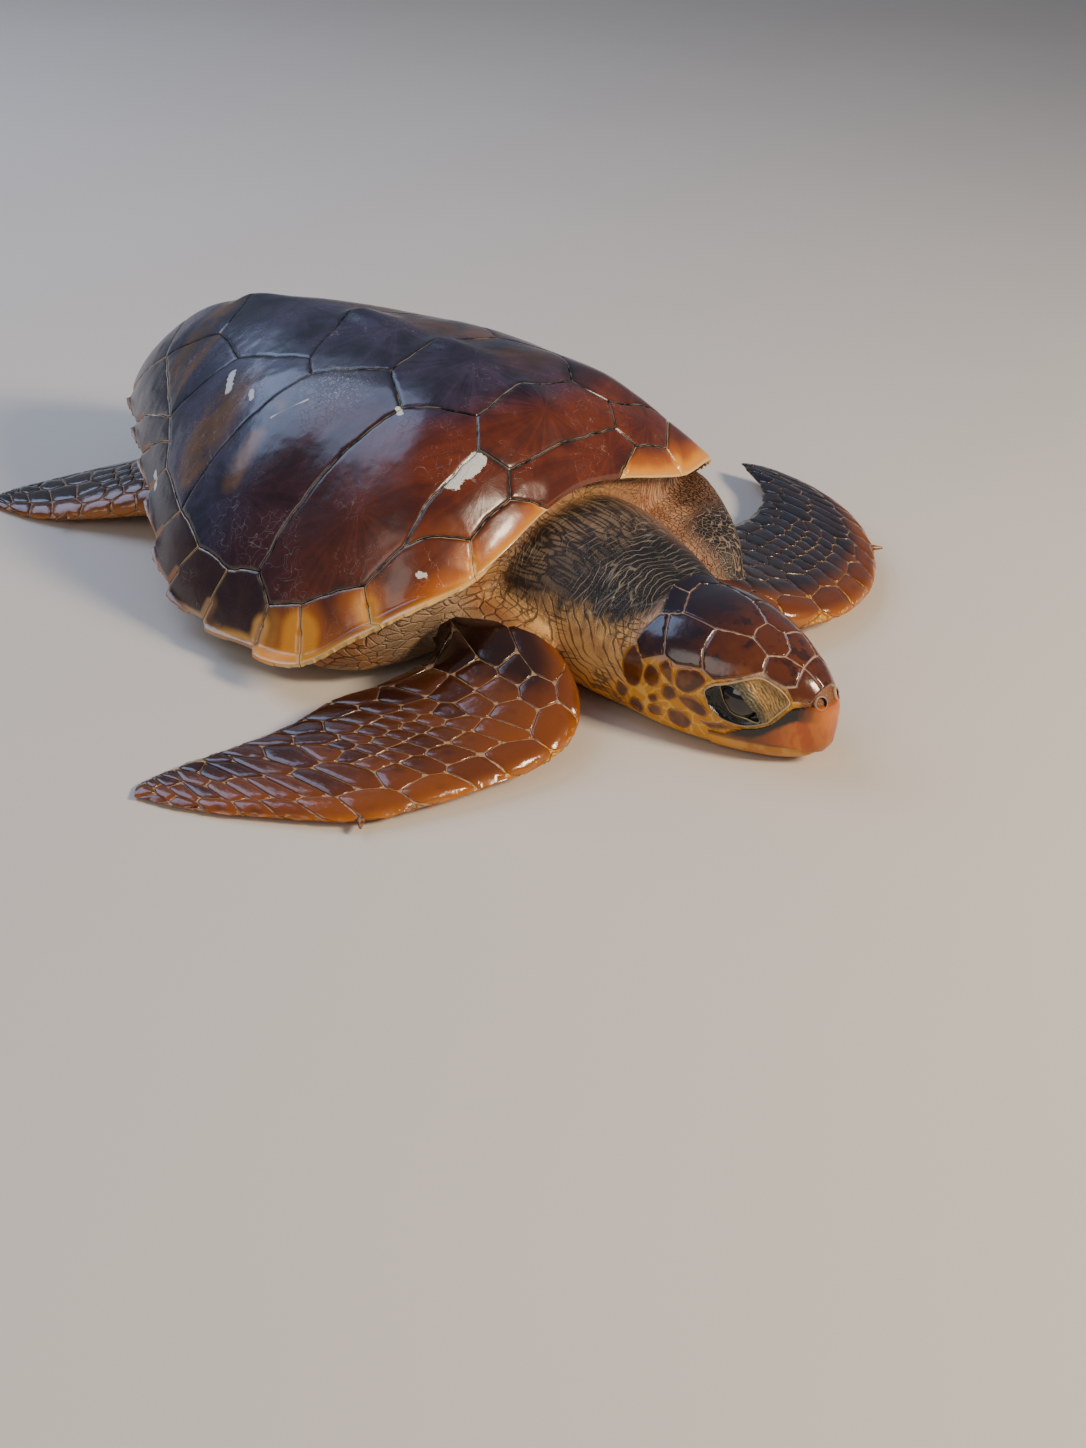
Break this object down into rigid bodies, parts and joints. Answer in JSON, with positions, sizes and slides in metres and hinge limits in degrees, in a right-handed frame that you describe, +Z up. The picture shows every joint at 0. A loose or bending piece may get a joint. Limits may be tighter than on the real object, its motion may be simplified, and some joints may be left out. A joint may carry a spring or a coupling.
{
  "type": "loggerhead turtle",
  "caption": "Still life-size model of a juvenile loggerhead turtle lying on its plastron with the head low and the flippers spread.",
  "frame": {"origin": "on the floor, on the underside of the plastron, below the middle of the carapace's length", "axes": "+Z up; the head points along -Y; +X is the turtle's left"},
  "size_m": [0.4973, 0.4801, 0.1311],
  "materials": {
    "carapace_horn": "glossy dark red-brown horn",
    "marginal_horn": "glossy amber horn, yellow at the rim",
    "plastron_horn": "satin cream-yellow horn",
    "skin": "wrinkled skin, dark above and cream below",
    "scaled_skin": "glossy red-brown scales with pale outlines",
    "beak_horn": "smooth orange horn",
    "eye_surface": "wet, near black",
    "claw_horn": "brown horn"
  },
  "bodies": {
    "root": {"nuchal": "carapace_horn", "vertebral_1": "carapace_horn", "vertebral_2": "carapace_horn", "vertebral_3": "carapace_horn", "vertebral_4": "carapace_horn", "vertebral_5": "carapace_horn", "costal_left_1": "carapace_horn", "costal_left_2": "carapace_horn", "costal_left_3": "carapace_horn", "costal_left_4": "carapace_horn", "costal_left_5": "carapace_horn", "marginal_left_1": "marginal_horn", "marginal_left_2": "marginal_horn", "marginal_left_3": "marginal_horn", "marginal_left_4": "marginal_horn", "marginal_left_5": "marginal_horn", "marginal_left_6": "marginal_horn", "marginal_left_7": "marginal_horn", "marginal_left_8": "marginal_horn", "marginal_left_9": "marginal_horn", "marginal_left_10": "marginal_horn", "marginal_left_11": "marginal_horn", "supracaudal_left": "marginal_horn", "costal_right_1": "carapace_horn", "costal_right_2": "carapace_horn", "costal_right_3": "carapace_horn", "costal_right_4": "carapace_horn", "costal_right_5": "carapace_horn", "marginal_right_1": "marginal_horn", "marginal_right_2": "marginal_horn", "marginal_right_3": "marginal_horn", "marginal_right_4": "marginal_horn", "marginal_right_5": "marginal_horn", "marginal_right_6": "marginal_horn", "marginal_right_7": "marginal_horn", "marginal_right_8": "marginal_horn", "marginal_right_9": "marginal_horn", "marginal_right_10": "marginal_horn", "marginal_right_11": "marginal_horn", "supracaudal_right": "marginal_horn", "plastron": "plastron_horn", "trunk": "skin", "neck": "skin", "tail": "skin", "head": "scaled_skin", "beak_upper": "beak_horn", "jaw_lower": "beak_horn", "eye_left": "eye_surface", "flipper_front_left": "scaled_skin", "claw_front_left": "claw_horn", "flipper_hind_left": "scaled_skin", "claw_hind_left": "claw_horn", "eye_right": "eye_surface", "flipper_front_right": "scaled_skin", "claw_front_right": "claw_horn", "flipper_hind_right": "scaled_skin", "claw_hind_right": "claw_horn"}
  },
  "joints": []
}
